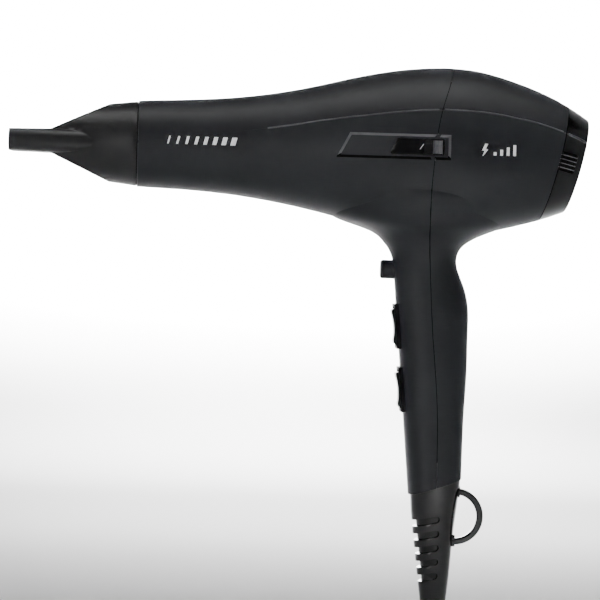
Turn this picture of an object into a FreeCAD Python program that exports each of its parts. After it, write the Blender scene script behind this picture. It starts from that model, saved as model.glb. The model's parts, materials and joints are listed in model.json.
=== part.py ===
"""Hair dryer with a slot nozzle, two rocker switches, a cool-air button, an ion switch and a pull-off filter cover.

Row frame in millimetres: +Z up, the nozzle points to -X, the switches face -X and the origin is the middle of the
grip. Most sizes along the barrel are written as "stations": distances behind the barrel's outlet plane.
Heights are written from the barrel's axis.
"""

import FreeCAD, Part
import math
import os
import re

import Sketcher
from FreeCAD import Placement, Rotation, Vector

doc = FreeCAD.newDocument("HairDryer")
sheet = doc.addObject("Spreadsheet::Sheet", "Dims")

# ---------------------------------------------------------------------------------------------------------------
# Driving dimensions
# ---------------------------------------------------------------------------------------------------------------

DIMENSIONS = {
    "outlet_x": (-160, "x of the barrel's outlet plane"),
    "axis_height": (115, "height of the barrel's axis above the middle of the grip"),
    "wall": (2.2, "housing wall"),
    "groove_depth": (1.1, "depth of the groove along the parting line and of the cover's grip slots"),
    "parting_gap": (0.4, "width of the groove between the two housings"),
    "joint_gap": (0.03, "gap between the two housings under that groove"),
    "recess_depth": (0.9, "depth of the recess in the barrel's side"),
    "window_depth": (0.45, "how far the glossy window lies under the barrel's surface"),
    "pocket_depth": (1.6, "depth of the pocket that holds the glossy window"),
    "crease_step": (0.8, "how far the side panels stand out below the crease"),
    "cover_tilt": (12.9, "lean of the filter cover's plane from upright, in degrees"),
    "cover_station": (215.4, "station of the filter cover's front plane on its own axis"),
    "cover_drop": (3.8, "how far the filter cover's centre lies under the barrel's axis"),
    "cover_depth": (12.2, "depth of the filter cover"),
    "cover_wall": (1.9, "wall of the filter cover"),
    "cover_gap": (0.5, "gap between the rear housing and the filter cover"),
    "rear_window": (19.5, "radius of the round opening in the filter cover's back"),
    "nozzle_gap": (0.5, "gap between the barrel and the nozzle"),
    "nozzle_base": (21.9, "radius of the nozzle at the barrel"),
    "nozzle_shoulder": (20.3, "radius where the nozzle starts to narrow"),
    "nozzle_shoulder_at": (14.4, "distance of that shoulder ahead of the outlet"),
    "nozzle_throat_at": (44.6, "distance ahead of the outlet where the cone has become the slot"),
    "nozzle_length": (65.4, "distance of the slot's mouth ahead of the outlet"),
    "slot_half_height": (6.1, "half the outer height of the slot at the throat"),
    "mouth_half_height": (5.6, "half the outer height of the slot at the mouth"),
    "mouth_half_width": (29, "half the outer width of the slot at the mouth"),
    "nozzle_wall": (1.7, "wall of the nozzle"),
    "spigot_radius": (19.4, "outer radius of the nozzle's spigot"),
    "spigot_length": (9, "how far the spigot goes into the barrel"),
    "snap_wire": (0.5, "radius of the snap ring's wire"),
    "outlet_bore": (20.1, "radius of the barrel's bore at the outlet"),
    "grille_station": (11, "station of the outlet grille"),
    "mica_radius": (19.6, "outer radius of the mica tube"),
    "mica_start": (17, "station of the mica tube's front end"),
    "mica_end": (96, "station of the mica tube's rear end"),
    "coil_radius": (15.9, "radius of the heater's windings"),
    "coil_pitch": (4.1, "distance between the heater's windings"),
    "stator_start": (127, "station of the stator's front face"),
    "stator_length": (20, "length of the stator"),
    "stator_side": (50, "side of the stator's square laminations"),
    "rotor_radius": (14.3, "radius of the rotor"),
    "shaft_radius": (2.5, "radius of the motor shaft"),
    "bearing_radius": (7, "outer radius of the bearings"),
    "fan_station": (164, "station of the fan's front face"),
    "fan_depth": (15, "depth of the fan"),
    "fan_radius": (31.2, "radius over the fan's blades"),
    "fan_hub": (12, "radius of the fan's hub"),
    "duct_radius": (32.2, "inner radius of the fan duct"),
    "duct_wall": (1.6, "wall of the fan duct"),
    "duct_start": (124, "station of the fan duct's front end"),
    "duct_end": (184, "station of the fan duct's rear end"),
    "button_height": (-61, "height of the cool-air button's axis"),
    "button_radius": (4.95, "radius of the cool-air button"),
    "button_face": (127.7, "station of the cool-air button's face"),
    "button_travel": (3, "travel of the cool-air button"),
    "switch_lean": (5.6, "lean of the switches, in degrees, that follows the front of the handle"),
    "upper_switch_at": (138.2, "station of the upper switch's seat"),
    "upper_switch_z": (-90.4, "height of the upper switch"),
    "lower_switch_at": (141.5, "station of the lower switch's seat"),
    "lower_switch_z": (-123.2, "height of the lower switch"),
    "bezel_height": (23.2, "height of a switch bezel"),
    "bezel_width": (13.4, "width of a switch bezel"),
    "bezel_depth": (2, "how far a switch bezel stands out of its seat"),
    "rocker_radius": (9.9, "radius of a rocker's ends about its pivot"),
    "rocker_rise": (3.4, "how far a rocker stands out of its seat"),
    "rocker_width": (9, "width of a rocker"),
    "pivot_depth": (1.5, "depth of a rocker's pivot under the seat"),
    "pivot_radius": (1.2, "radius of a rocker's trunnions"),
    "bezel_seat": (1, "depth of a switch's seat under the front of the handle"),
    "rocker_hollow": (30, "radius of the hollow in a rocker's face"),
    "guard_radius": (25, "radius of the fixed guard behind the filter cover"),
    "stator_corner": (30, "radius over the stator's corners"),
    "slot_taper": (0.21, "how fast the nozzle's slot widens towards the mouth"),
    "screw_radius": (1.5, "radius of the screws' threads"),
    "slider_length": (4.6, "length of the ion switch's knob"),
    "slider_height": (6.6, "height of the ion switch's knob"),
    "ion_face": (40.75, "distance of the ion switch's face from the middle plane"),
    "grip_pitch": (2.15, "distance between the cover's grip slots"),
    "grip_width": (1.35, "width of a grip slot"),
    "grip_length": (9, "length of a grip slot"),
    "sleeve_slot_end": (160.5, "station of the slots' rounded ends"),
    "running_gap": (0.05, "radial clearance of running fits"),
    "handle_screw_z": (-143.4, "height of the screw in the back of the handle"),
    "handle_base_at": (160.2, "station of the handle's base, on the sleeve's axis"),
    "handle_base_z": (-173.2, "height of the handle's slanted base, on the sleeve's axis"),
    "handle_base_slope": (18, "slope of the handle's base, in degrees"),
    "sleeve_at": (160.9, "station of the cord sleeve's axis"),
    "sleeve_slot": (3.5, "width of a slot in the cord sleeve"),
    "sleeve_pitch": (7.41, "distance between the slots"),
    "sleeve_slot_z": (-190.2, "height of the uppermost slot at the front"),
    "sleeve_slot_slope": (13, "slope of the slots, in degrees"),
    "cord_bore": (4, "radius of the bore for the cord"),
    "loop_at": (170.9, "station of the hanging loop's centre"),
    "loop_z": (-189, "height of the hanging loop's centre"),
    "loop_radius": (14.8, "outer radius of the hanging loop"),
    "loop_width": (3.4, "width of the hanging loop's ring"),
    "loop_thick": (4.4, "thickness of the hanging loop"),
    "badge_middle": (2.4, "height of the side recess's middle"),
    "badge_lean": (0.52, "lean of the recess's front edge"),
    "badge_start": (101, "station of the side recess's lower front corner"),
    "badge_end": (158.6, "station of the side recess's rear end"),
    "badge_height": (12.8, "height of the side recess"),
    "window_start": (127.4, "station of the glossy window's lower front corner"),
    "window_end": (155.4, "station of the glossy window's rear end"),
    "window_height": (8.2, "height of the glossy window"),
    "window_corner": (1.2, "radius of the glossy window's corners"),
    "slider_travel": (4.5, "travel of the ion switch"),
    "slider_margin": (1.2, "distance between the ion switch's knob and the window's rear end"),
    "slider_clearance": (0.25, "gap round the knob in its slot"),
    "slider_thick": (2.2, "thickness of the knob"),
    "slider_reach": (5.6, "how far the knob's stem reaches in from its face"),
    "front_rib_at": (19, "station of the rib round the mica tube's front end"),
    "middle_rib_at": (88, "station of the rib round the mica tube's rear end"),
    "duct_rib_at": (129, "station of the rib round the fan duct's front end"),
    "rear_rib_at": (177, "station of the rib round the fan duct's rear end"),
    "rib_thick": (2, "thickness of the ribs"),
    "guard_rib_at": (-9.6, "place of the guard's rib on the filter cover's axis"),
    "guard_rib_thick": (1.6, "thickness of the guard's rib"),
    "grip_middle": (1.8, "height of the middle grip slot"),
    "boss_front": (144.5, "station where the front housing's screw boss starts"),
    "boss_rear": (159.6, "station where the rear housing's screw boss starts"),
    "boss_radius": (4, "radius of the front housing's screw boss"),
    "well_radius": (3.4, "radius of the well of the handle's screw"),
    "well_at": (166, "station of that well's floor"),
    "lip_reach": (28, "half the height of the filter cover's lip"),
    "lip_half": (26.2, "half the width of the filter cover's lip"),
    "lip_wall": (1.2, "wall of the filter cover's lip"),
    "lip_depth": (3, "how far the filter cover's lip reaches into the rear housing"),
    "post_height": (23.9, "height of the motor's posts above its axis"),
    "post_radius": (3, "radius of the motor's posts"),
    "winding_height": (20.5, "height of the stator's windings above the motor's axis"),
}

# Barrel: station, height above the axis, depth under it, half width, crease height, share of the crease step.
BARREL = (
    (0, 22.4, 22.3, 22.35, 1.0, 0.0),
    (25, 23.7, 23.2, 23.4, 4.0, 0.0),
    (50, 25.7, 25.1, 25.3, 7.3, 0.0),
    (75, 29.4, 28.7, 28.5, 11.2, 0.35),
    (100, 35.1, 33.9, 33.2, 15.6, 0.8),
    (125, 40.9, 39.6, 37.9, 19.2, 1.0),
    (150, 44.1, 43.2, 40.6, 21.6, 1.0),
    (170, 43.9, 42.8, 40.0, 21.6, 1.0),
    (190, 39.7, 38.7, 36.6, 19.4, 1.0),
    (210, 32.7, 33.2, 31.6, 15.2, 1.0),
    (228, 23.3, 26.4, 25.6, 8.6, 1.0),
    (240, 15.4, 21.4, 20.6, 3.0, 1.0),
)
# Handle: height, front, rear, half width, squareness of the section.
HANDLE = (
    (-6, 106, 197, 35.0, 2.0),
    (-20, 101, 199, 36.3, 2.0),
    (-34, 101.5, 195.5, 30.4, 2.0),
    (-41, 120.6, 183.1, 24.9, 2.0),
    (-45, 127.1, 174.5, 21.8, 2.1),
    (-49.4, 130.9, 169.3, 19.2, 2.2),
    (-54, 133.3, 167.4, 17.2, 2.3),
    (-60, 134.4, 168.0, 16.1, 2.35),
    (-66, 135.1, 170.4, 15.7, 2.4),
    (-74, 135.9, 173.1, 15.7, 2.45),
    (-83, 136.8, 174.4, 15.9, 2.5),
    (-112, 139.7, 174.5, 15.7, 2.5),
    (-142, 142.6, 173.6, 15.0, 2.5),
    (-170, 145.3, 173.5, 14.2, 2.5),
    (-190, 147.2, 173.2, 13.6, 2.5),
)
# Cord sleeve: height, front, rear, half width.
SLEEVE = (
    (-162, 148.0, 172.6, 11.4),
    (-178, 147.2, 172.5, 11.0),
    (-190, 148.2, 171.1, 10.2),
    (-216, 151.6, 169.1, 8.1),
    (-232, 153.8, 167.7, 6.6),
    (-247, 155.4, 166.4, 5.5),
)
# Front-to-rear parting line: station and height.
PARTING = (
    (162.6, 60), (161.7, 44.5), (154.0, 21), (150.4, -4), (149.7, -25),
    (151.8, -55), (154.5, -92), (158.0, -128), (159.2, -172), (159.4, -205),
)


def fill_sheet():
    """Writes every driving dimension to a named cell, with its meaning beside it."""
    cells = dict(DIMENSIONS)
    for i, row in enumerate(BARREL, start=1):
        for word, value in zip(("at", "top", "bottom", "half", "crease", "share"), row):
            cells[f"barrel{i}_{word}"] = (value, f"barrel section {i}, {word}")
    for i, row in enumerate(HANDLE, start=1):
        for word, value in zip(("z", "front", "rear", "half", "square"), row):
            cells[f"handle{i}_{word}"] = (value, f"handle section {i}, {word}")
    for i, row in enumerate(SLEEVE, start=1):
        for word, value in zip(("z", "front", "rear", "half"), row):
            cells[f"sleeve{i}_{word}"] = (value, f"cord sleeve section {i}, {word}")
    for i, row in enumerate(PARTING, start=1):
        for word, value in zip(("at", "z"), row):
            cells[f"parting{i}_{word}"] = (value, f"parting line point {i}, {word}")
    for line, (alias, (value, meaning)) in enumerate(cells.items(), start=1):
        sheet.set(f"A{line}", meaning)
        sheet.set(f"B{line}", str(value))
        sheet.setAlias(f"B{line}", alias)
    doc.recompute()
    return cells


CELLS = fill_sheet()
WORDS = re.compile(r"[A-Za-z_][A-Za-z_0-9]*")


def dim(alias):
    """The value of one cell."""
    return float(sheet.get(alias))


def formula(text):
    """A FreeCAD expression from plain words: every alias gets the sheet's name in front."""
    return WORDS.sub(lambda m: "Dims." + m.group() if m.group() in CELLS else m.group(), str(text))


# ---------------------------------------------------------------------------------------------------------------
# Building blocks
# ---------------------------------------------------------------------------------------------------------------

ALONG = {"x": Rotation(Vector(0, 1, 0), 90), "y": Rotation(Vector(1, 0, 0), -90), "z": Rotation()}
NODES = []


def bind(item, **formulas):
    """Ties an object's properties to formulas of the sheet's cells."""
    for name, text in formulas.items():
        item.setExpression(name, formula(text))
    return item


def move(item, x="0", y="0", z="0"):
    """Ties an object's position to formulas."""
    for axis, text in zip("xyz", (x, y, z)):
        item.setExpression(f"Placement.Base.{axis}", formula(text))
    return item


def block(x0, x1, y0, y1, z0, z1):
    """A box between six limits."""
    box = doc.addObject("Part::Box", "Block")
    bind(box, Length=f"({x1}) - ({x0})", Width=f"({y1}) - ({y0})", Height=f"({z1}) - ({z0})")
    return move(box, x0, y0, z0)


def rod(axis, start, end, radius, u="0", v="0", end_radius=None):
    """A cylinder, or a cone, along one axis; u and v are its centre on the other two axes."""
    if end_radius is None:
        item = bind(doc.addObject("Part::Cylinder", "Rod"), Radius=radius)
    else:
        item = bind(doc.addObject("Part::Cone", "Taper"), Radius1=radius, Radius2=end_radius)
    bind(item, Height=f"({end}) - ({start})")
    item.Placement = Placement(Vector(), ALONG[axis])
    spots = [str(u), str(v)]
    spots.insert("xyz".index(axis), str(start))
    return move(item, *spots)


def ring(axis, centre, radius, thickness, u="0", v="0"):
    """A torus round one axis."""
    item = bind(doc.addObject("Part::Torus", "Ring"), Radius1=radius, Radius2=thickness)
    item.Placement = Placement(Vector(), ALONG[axis])
    spots = [str(u), str(v)]
    spots.insert("xyz".index(axis), str(centre))
    return move(item, *spots)


def join(*items):
    """The union of two or more objects."""
    if len(items) == 1:
        return items[0]
    union = doc.addObject("Part::MultiFuse", "Union")
    union.Shapes = list(items)
    return union


def cut(base, *tools):
    """One object less the others."""
    result = doc.addObject("Part::Cut", "Difference")
    result.Base = base
    result.Tool = join(*tools)
    return result


def shared(*items):
    """What two or more objects have in common."""
    result = doc.addObject("Part::MultiCommon", "Shared")
    result.Shapes = list(items)
    return result


def fixed(shape, name="Form"):
    """A shape made with Part's own functions, as an object of the document."""
    item = doc.addObject("Part::Feature", name)
    item.Shape = shape
    return item


def tube(start, end, outer, inner):
    """A round tube along x."""
    return cut(rod("x", start, end, outer), rod("x", f"({start}) - 1", f"({end}) + 1", inner))


def turned(profile):
    """A body turned about x; the profile's points are (distance along x, radius)."""
    body = doc.addObject("PartDesign::Body", "Turned")
    sketch = body.newObject("Sketcher::SketchObject", "Profile")
    plane = [item for item in body.Origin.OriginFeatures if item.Role == "XZ_Plane"][0]
    sketch.AttachmentSupport = [(plane, "")]
    sketch.MapMode = "FlatFace"
    count = len(profile)
    for i in range(count):
        angle = 2 * math.pi * i / count
        following = 2 * math.pi * (i + 1) / count
        sketch.addGeometry(Part.LineSegment(
            Vector(10 * math.cos(angle), 30 + 10 * math.sin(angle), 0),
            Vector(10 * math.cos(following), 30 + 10 * math.sin(following), 0)))
    for i in range(count):
        sketch.addConstraint(Sketcher.Constraint("Coincident", i, 2, (i + 1) % count, 1))
    for i, point in enumerate(profile):
        for kind, text in zip(("DistanceX", "DistanceY"), point):
            number = sketch.addConstraint(Sketcher.Constraint(kind, -1, 1, i, 1, 10.0))
            sketch.setExpression(f"Constraints[{number}]", formula(text))
    revolution = body.newObject("PartDesign::Revolution", "Revolution")
    revolution.Profile = sketch
    revolution.ReferenceAxis = (sketch, ["H_Axis"])
    revolution.Angle = 360
    return body


def node(label, item, station, height, lean=0):
    """Names a finished sub-part and puts it in the row frame."""
    if item.TypeId in ("Part::Cylinder", "Part::Torus"):
        piece = doc.addObject("Part::Compound", "Piece")
        piece.Links = [item]
        item = piece
    item.Label = label
    item.Placement = Placement(Vector(), Rotation(Vector(0, 1, 0), lean))
    move(item, f"outlet_x + ({station})", "0", f"axis_height + ({height})")
    NODES.append(item)
    return item


def on_axis(label, item):
    """A sub-part whose own origin is where the barrel's axis meets the outlet plane."""
    return node(label, item, "0", "0")


# ---------------------------------------------------------------------------------------------------------------
# Forms of the housing, in stations and heights
# ---------------------------------------------------------------------------------------------------------------

def rows(name, words, count):
    """Reads a table of sections back from the sheet."""
    return [[dim(f"{name}{i}_{word}") for word in words] for i in range(1, count + 1)]


def spline(points, closed=False):
    """A smooth curve through points."""
    curve = Part.BSplineCurve()
    curve.interpolate(Points=[Vector(*point) for point in points], PeriodicFlag=closed)
    return curve.toShape()


def spread(first, last, count):
    """Evenly spaced numbers from first to last."""
    return [first + (last - first) * i / (count - 1) for i in range(count)]


def stepped_section(at, top, bottom, half, crease, share):
    """A barrel section whose side panels stand out under a crease."""
    step = max(dim("crease_step") * share, 0.02)
    crease_angle = math.asin(crease / top)
    panel_angle = math.asin((crease - step) / top)
    upper_half = half - step / math.cos(crease_angle)
    over = [(at, upper_half * math.cos(a), top * math.sin(a))
            for a in spread(crease_angle, math.pi - crease_angle, 13)]
    under = []
    for angle in spread(math.pi - panel_angle, 2 * math.pi + panel_angle, 25):
        drop = top if math.sin(angle) > 0 else bottom
        under.append((at, half * math.cos(angle), drop * math.sin(angle)))
    return Part.Wire([spline(over), Part.makeLine(Vector(*over[-1]), Vector(*under[0])),
                      spline(under), Part.makeLine(Vector(*under[-1]), Vector(*over[0]))])


def plain_section(at, top, bottom, half, crease, share):
    """A barrel section without the crease, inside the upper surface all round."""
    narrow = half - dim("crease_step") * share / math.cos(math.asin(crease / top))
    over = [(at, narrow * math.cos(a), top * math.sin(a)) for a in spread(0, math.pi, 13)]
    under = [(at, narrow * math.cos(a), bottom * math.sin(a)) for a in spread(math.pi, 2 * math.pi, 13)]
    return Part.Wire([spline(over), spline(under)])


def barrel_form(depth, section, lead=0):
    """The barrel's solid form at some depth under its surface; lead carries it past the outlet plane."""
    sections = [[at, top - depth, bottom - depth, half - depth, crease, share]
                for at, top, bottom, half, crease, share
                in rows("barrel", ("at", "top", "bottom", "half", "crease", "share"), len(BARREL))]
    if lead:
        sections.insert(0, [-lead] + sections[0][1:])
    return Part.makeLoft([section(*values) for values in sections], True)


def oval(front, rear, half, height, squareness):
    """A closed curve, from an ellipse (2) towards a rounded rectangle (above 2), at one height."""
    centre, reach = (front + rear) / 2, (rear - front) / 2
    points = []
    for i in range(24):
        angle = math.pi + 2 * math.pi * i / 24
        c, s = math.cos(angle), math.sin(angle)
        size = (abs(c) ** squareness + abs(s) ** squareness) ** (-1 / squareness)
        points.append((centre + reach * size * c, half * size * s, height))
    return Part.Wire([spline(points, closed=True)])


def gentle_slopes(places, values):
    """Slopes of a cubic curve through values that never swings past them."""
    steps = [(after - before) / (right - left) for left, right, before, after
             in zip(places, places[1:], values, values[1:])]
    middle = [2 * a * b / (a + b) if a * b > 0 else 0 for a, b in zip(steps, steps[1:])]
    return [steps[0], *middle, steps[-1]]


def filled_in(table, spacing):
    """A table with rows added between its own, about one spacing apart in the first column."""
    columns = list(zip(*table))
    places = columns[0]
    slopes = [gentle_slopes(places, column) for column in columns]
    filled = []
    for i, (left, right) in enumerate(zip(places, places[1:])):
        count = max(1, round(abs(right - left) / spacing))
        for step in range(count):
            share = step / count
            row = []
            for column, slope in zip(columns, slopes):
                rise = (right - left) * (share * (1 - share) ** 2 * slope[i] - share ** 2 * (1 - share) * slope[i + 1])
                row.append(column[i] * (1 - share) ** 2 * (1 + 2 * share) + column[i + 1] * share ** 2 * (3 - 2 * share)
                           + rise)
            filled.append(row)
    return filled + [list(table[-1])]


def handle_form(depth):
    """The handle's solid form with its flare, at some depth under its surface and under the flare."""
    table = filled_in(rows("handle", ("z", "front", "rear", "half", "square"), len(HANDLE)), 9)
    return Part.makeLoft([oval(front + depth, rear - depth, half - depth, z + depth, square)
                          for z, front, rear, half, square in table], True)


def sleeve_form(growth):
    """The cord sleeve's solid form, grown by a clearance."""
    return Part.makeLoft([oval(front - growth, rear + growth, half + growth, z, 2) for z, front, rear, half
                          in rows("sleeve", ("z", "front", "rear", "half"), len(SLEEVE))], True)


def behind_parting(shift):
    """Everything behind the parting line, moved back by a shift."""
    edge = [(at + shift, -80, z) for at, z in rows("parting", ("at", "z"), len(PARTING))]
    top, bottom = edge[0], edge[-1]
    far = 300
    corners = [Vector(*bottom), Vector(far, -80, bottom[2]), Vector(far, -80, top[2]), Vector(*top)]
    outline = [spline(edge)] + [Part.makeLine(a, b) for a, b in zip(corners, corners[1:])]
    return Part.Face(Part.Wire(outline)).extrude(Vector(0, 160, 0))


def in_cover_frame(shape):
    """Moves a shape from the filter cover's own frame, x along its axis, to stations and heights."""
    frame = Placement(Vector(dim("cover_station"), 0, -dim("cover_drop")),
                      Rotation(Vector(0, 1, 0), dim("cover_tilt")))
    shape.Placement = frame.multiply(shape.Placement)
    return shape


def cover_slab(start, end):
    """A slab across the barrel between two depths of the filter cover's frame."""
    return in_cover_frame(Part.makeBox(end - start, 120, 120, Vector(start, -60, -60)))


def axis_rod(start, end, radius):
    """A cylinder on the barrel's axis."""
    return Part.makeCylinder(radius, end - start, Vector(start, 0, 0), Vector(1, 0, 0))


def rib(cavity, start, bore):
    """A wall across the barrel's cavity with a round bore."""
    slab = Part.makeBox(dim("rib_thick"), 120, 120, Vector(start, -60, -60))
    return slab.common(cavity).cut(axis_rod(start - 1, start + dim("rib_thick") + 1, bore))


def side_prism(corners, side):
    """A prism through one wall of the barrel's side, over an outline of (station, height) corners."""
    points = [Vector(at, side * 30, z) for at, z in corners]
    return Part.Face(Part.makePolygon(points + points[:1])).extrude(Vector(0, side * 20, 0))


def slanted_patch(start, end, height, growth=0):
    """The outline of a side recess: its front edge leans like the stripe beside it."""
    middle = dim("badge_middle")
    low, high = middle - height / 2 - growth, middle + height / 2 + growth
    lean = dim("badge_lean") * height
    return [(start - growth, low), (end + growth, low), (end + growth, high), (start + lean - growth, high)]


def rounded(shape, radius, picks):
    """Rounds the edges that a test picks."""
    return shape.makeFillet(radius, [edge for edge in shape.Edges if picks(edge)])


# ---------------------------------------------------------------------------------------------------------------
# Housing
# ---------------------------------------------------------------------------------------------------------------

def below_base(lift):
    """Everything under the handle's slanted base, raised by a lift."""
    box = Part.makeBox(200, 120, 80, Vector(-100, -60, -80 + lift))
    box.Placement = Placement(Vector(dim("handle_base_at"), 0, dim("handle_base_z")),
                              Rotation(Vector(0, 1, 0), -dim("handle_base_slope")))
    return box


def switch_block(at, height, sizes, start, end):
    """A box in a switch's own frame, x into the handle, with (width, height) sizes."""
    width, tall = sizes
    box = Part.makeBox(end - start, width, tall, Vector(start, -width / 2, -tall / 2))
    box.Placement = Placement(Vector(dim(at), 0, dim(height)), Rotation(Vector(0, 1, 0), -dim("switch_lean")))
    return box


def switch_openings():
    """The seats and the holes of the two rocker switches."""
    bezel = (dim("bezel_width") + 0.2, dim("bezel_height") + 0.2)
    body = (dim("bezel_width") - 1.2, dim("bezel_height") - 1)
    tools = []
    for at, height in (("upper_switch_at", "upper_switch_z"), ("lower_switch_at", "lower_switch_z")):
        tools.append(switch_block(at, height, bezel, -5, dim("bezel_seat")))
        tools.append(switch_block(at, height, body, -5, 8))
    return tools


def outer_form(depth):
    """Barrel and handle together, at some depth under the surface."""
    return barrel_form(depth, stepped_section).fuse(handle_form(depth))


def in_turn(shape, tools):
    """Cuts tools from a shape one after the other."""
    for tool in tools:
        shape = shape.cut(tool)
    return shape


def slider_slot():
    """The outline of the slot in which the ion switch's knob slides."""
    clear = dim("slider_clearance")
    rear = dim("window_end") - dim("slider_margin") + clear
    front = rear - dim("slider_length") - dim("slider_travel") - 2 * clear
    reach = dim("slider_height") / 2 + clear
    low, high = dim("badge_middle") - reach, dim("badge_middle") + reach
    return [(front, low), (rear, low), (rear, high), (front, high)]


def side_tools():
    """The recesses in the barrel's sides, the pockets of their windows and the ion switch's slot."""
    recess_floor = barrel_form(dim("recess_depth"), stepped_section)
    pocket_floor = barrel_form(dim("pocket_depth"), stepped_section)
    tools = []
    for side in (-1, 1):
        recess = side_prism(slanted_patch(dim("badge_start"), dim("badge_end"), dim("badge_height")), side)
        pocket = side_prism(slanted_patch(dim("window_start"), dim("window_end"), dim("window_height"), 0.1), side)
        tools += [recess.cut(recess_floor), pocket.cut(pocket_floor)]
    tools.append(side_prism(slider_slot(), -1))
    return tools


def make_housings():
    """The front and rear housings, split along the parting line."""
    wall = dim("wall")
    cavity = barrel_form(wall, plain_section, lead=5)
    grip_cavity = handle_form(wall).cut(below_base(3))
    shell = outer_form(0).cut(below_base(0)).cut(cavity.fuse(grip_cavity))
    button_hole = Part.makeCylinder(dim("button_radius") + 0.15, 14,
                                    Vector(dim("button_face"), 0, dim("button_height")), Vector(1, 0, 0))
    shell = in_turn(shell, [cover_slab(0, 80), *side_tools(), *switch_openings(), button_hole, sleeve_form(0.1)])

    behind = behind_parting(0)
    groove = behind.cut(behind_parting(dim("parting_gap")))
    groove = in_turn(groove, [barrel_form(dim("groove_depth"), stepped_section), handle_form(dim("groove_depth"))])
    front = shell.cut(behind)
    rear = shell.common(behind_parting(dim("joint_gap"))).cut(groove)

    seat = barrel_form(wall / 2, plain_section)
    mica = dim("mica_radius") + dim("running_gap")
    duct = dim("duct_radius") + dim("duct_wall") + dim("running_gap")
    for place, bore in (("front_rib_at", mica), ("middle_rib_at", mica), ("duct_rib_at", duct)):
        front = front.fuse(rib(seat, dim(place), bore))
    rear = rear.fuse(rib(seat, dim("rear_rib_at"), duct))
    guard_hole = Part.makeCylinder(dim("guard_radius") - 2, 20, Vector(-15, 0, 0), Vector(1, 0, 0))
    guard_rib = cover_slab(dim("guard_rib_at"), dim("guard_rib_at") + dim("guard_rib_thick"))
    rear = rear.fuse(guard_rib.common(seat).cut(in_cover_frame(guard_hole)))

    screw_z = dim("handle_screw_z")
    back = Vector(1, 0, 0)
    pilot = Part.makeCylinder(dim("screw_radius"), 30, Vector(dim("boss_front") + 4.5, 0, screw_z), back)
    well = Part.makeCylinder(dim("well_radius"), 12, Vector(dim("well_at"), 0, screw_z), back)
    front_boss = Part.makeCylinder(dim("boss_radius"), 14, Vector(dim("boss_front"), 0, screw_z), back)
    rear_boss = Part.makeCylinder(dim("boss_radius") + 1, 13.5, Vector(dim("boss_rear"), 0, screw_z), back)
    front = front.fuse(front_boss).cut(pilot)
    rear = rear.fuse(rear_boss).cut(well).cut(pilot)
    node("front_housing", fixed(front, "FrontHousing"), "0", "0")
    node("rear_housing", fixed(rear, "RearHousing"), "0", "0")


def make_side_windows():
    """The glossy windows in the two side recesses; the left one has the ion switch's slot."""
    start, end, height = dim("window_start"), dim("window_end"), dim("window_height")
    skin = barrel_form(dim("window_depth"), stepped_section).cut(barrel_form(dim("pocket_depth") - 0.02,
                                                                               stepped_section))
    for label, side in (("side_window", -1), ("side_badge", 1)):
        plate = side_prism(slanted_patch(start, end, height), side).common(skin)
        plate = rounded(plate, dim("window_corner"), lambda edge: abs(edge.Vertexes[0].X - edge.Vertexes[-1].X) < 0.01
                        and abs(edge.Vertexes[0].Z - edge.Vertexes[-1].Z) < 0.01)
        if side < 0:
            plate = plate.cut(side_prism(slider_slot(), side))
        on_axis(label, fixed(plate, "SideWindow"))


def make_ion_slider():
    """The ion switch: the knob with the stem that reaches through the wall, and the flat switch behind it."""
    middle, face = "badge_middle", "ion_face"
    start, end = "window_end - slider_margin - slider_length", "window_end - slider_margin"
    low, high = f"{middle} - slider_height / 2", f"{middle} + slider_height / 2"
    knob = block(start, end, f"-{face}", f"-{face} + slider_thick", low, high)
    grips = [rod("z", low, high, "0.55", f"{start} + 0.9 + {i} * 1.45", f"-{face} - 0.1") for i in range(3)]
    stem = block(f"{start} + 1", f"{end} - 1", f"-{face} + slider_thick - 0.1", f"-{face} + slider_reach",
                 f"{middle} - 1.5", f"{middle} + 1.5")
    on_axis("ion_slider", join(cut(knob, *grips), stem))
    front = f"{start} - slider_travel"
    body = block(f"{front} - 1", f"{end} + 1", f"-{face} + 4.4", "-duct_radius - duct_wall",
                 f"{middle} - 5", f"{middle} + 5")
    track = block(f"{front} + 0.8", f"{end} - 0.8", f"-{face} + 4", f"-{face} + slider_reach + 0.3",
                  f"{middle} - 1.7", f"{middle} + 1.7")
    pins = [block(f"{front} - 4", f"{front} - 0.9", f"-{face} + 5.2", f"-{face} + 5.8",
                  f"{middle} + {z - 0.6}", f"{middle} + {z + 0.6}") for z in (-3, 0, 3)]
    on_axis("ion_switch", join(cut(body, track), *pins))


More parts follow.
